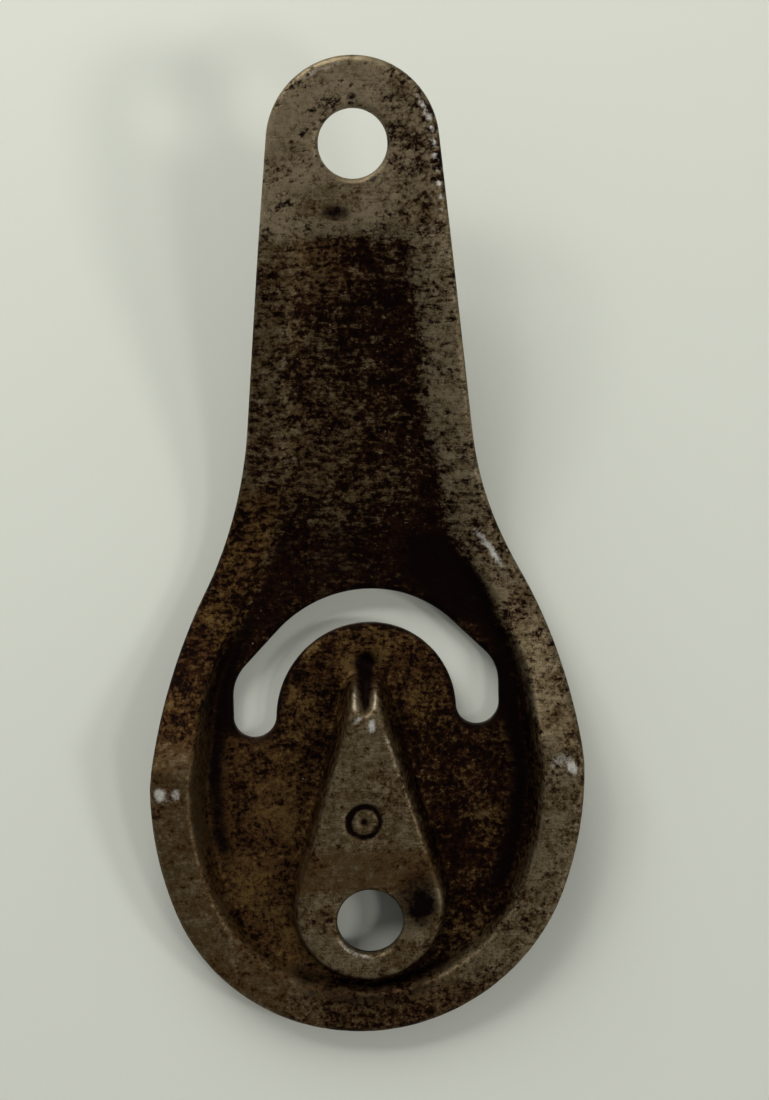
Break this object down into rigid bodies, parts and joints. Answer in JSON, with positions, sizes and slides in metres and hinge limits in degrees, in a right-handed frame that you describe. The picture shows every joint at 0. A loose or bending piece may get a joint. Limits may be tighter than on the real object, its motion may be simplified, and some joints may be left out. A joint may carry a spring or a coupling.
{
  "type": "pressed steel screw-on lifter plate",
  "caption": "Pressed steel plate with a flat tab, channelled neck, dished bowl, crescent slot round a tongue and a raised teardrop boss, screwed to a wall or ceiling.",
  "frame": {"origin": "midway between the two screw holes, in the plane that lies on the wall or ceiling", "axes": "+Z into the wall or ceiling, along the screws; +Y along the plate towards the round tab; +X across it"},
  "size_m": [0.0522, 0.1168, 0.0113],
  "materials": {
    "worn_steel": "worn bare steel with brown and black rust patina"
  },
  "bodies": {
    "root": {"pressed_plate": "worn_steel"}
  },
  "joints": []
}
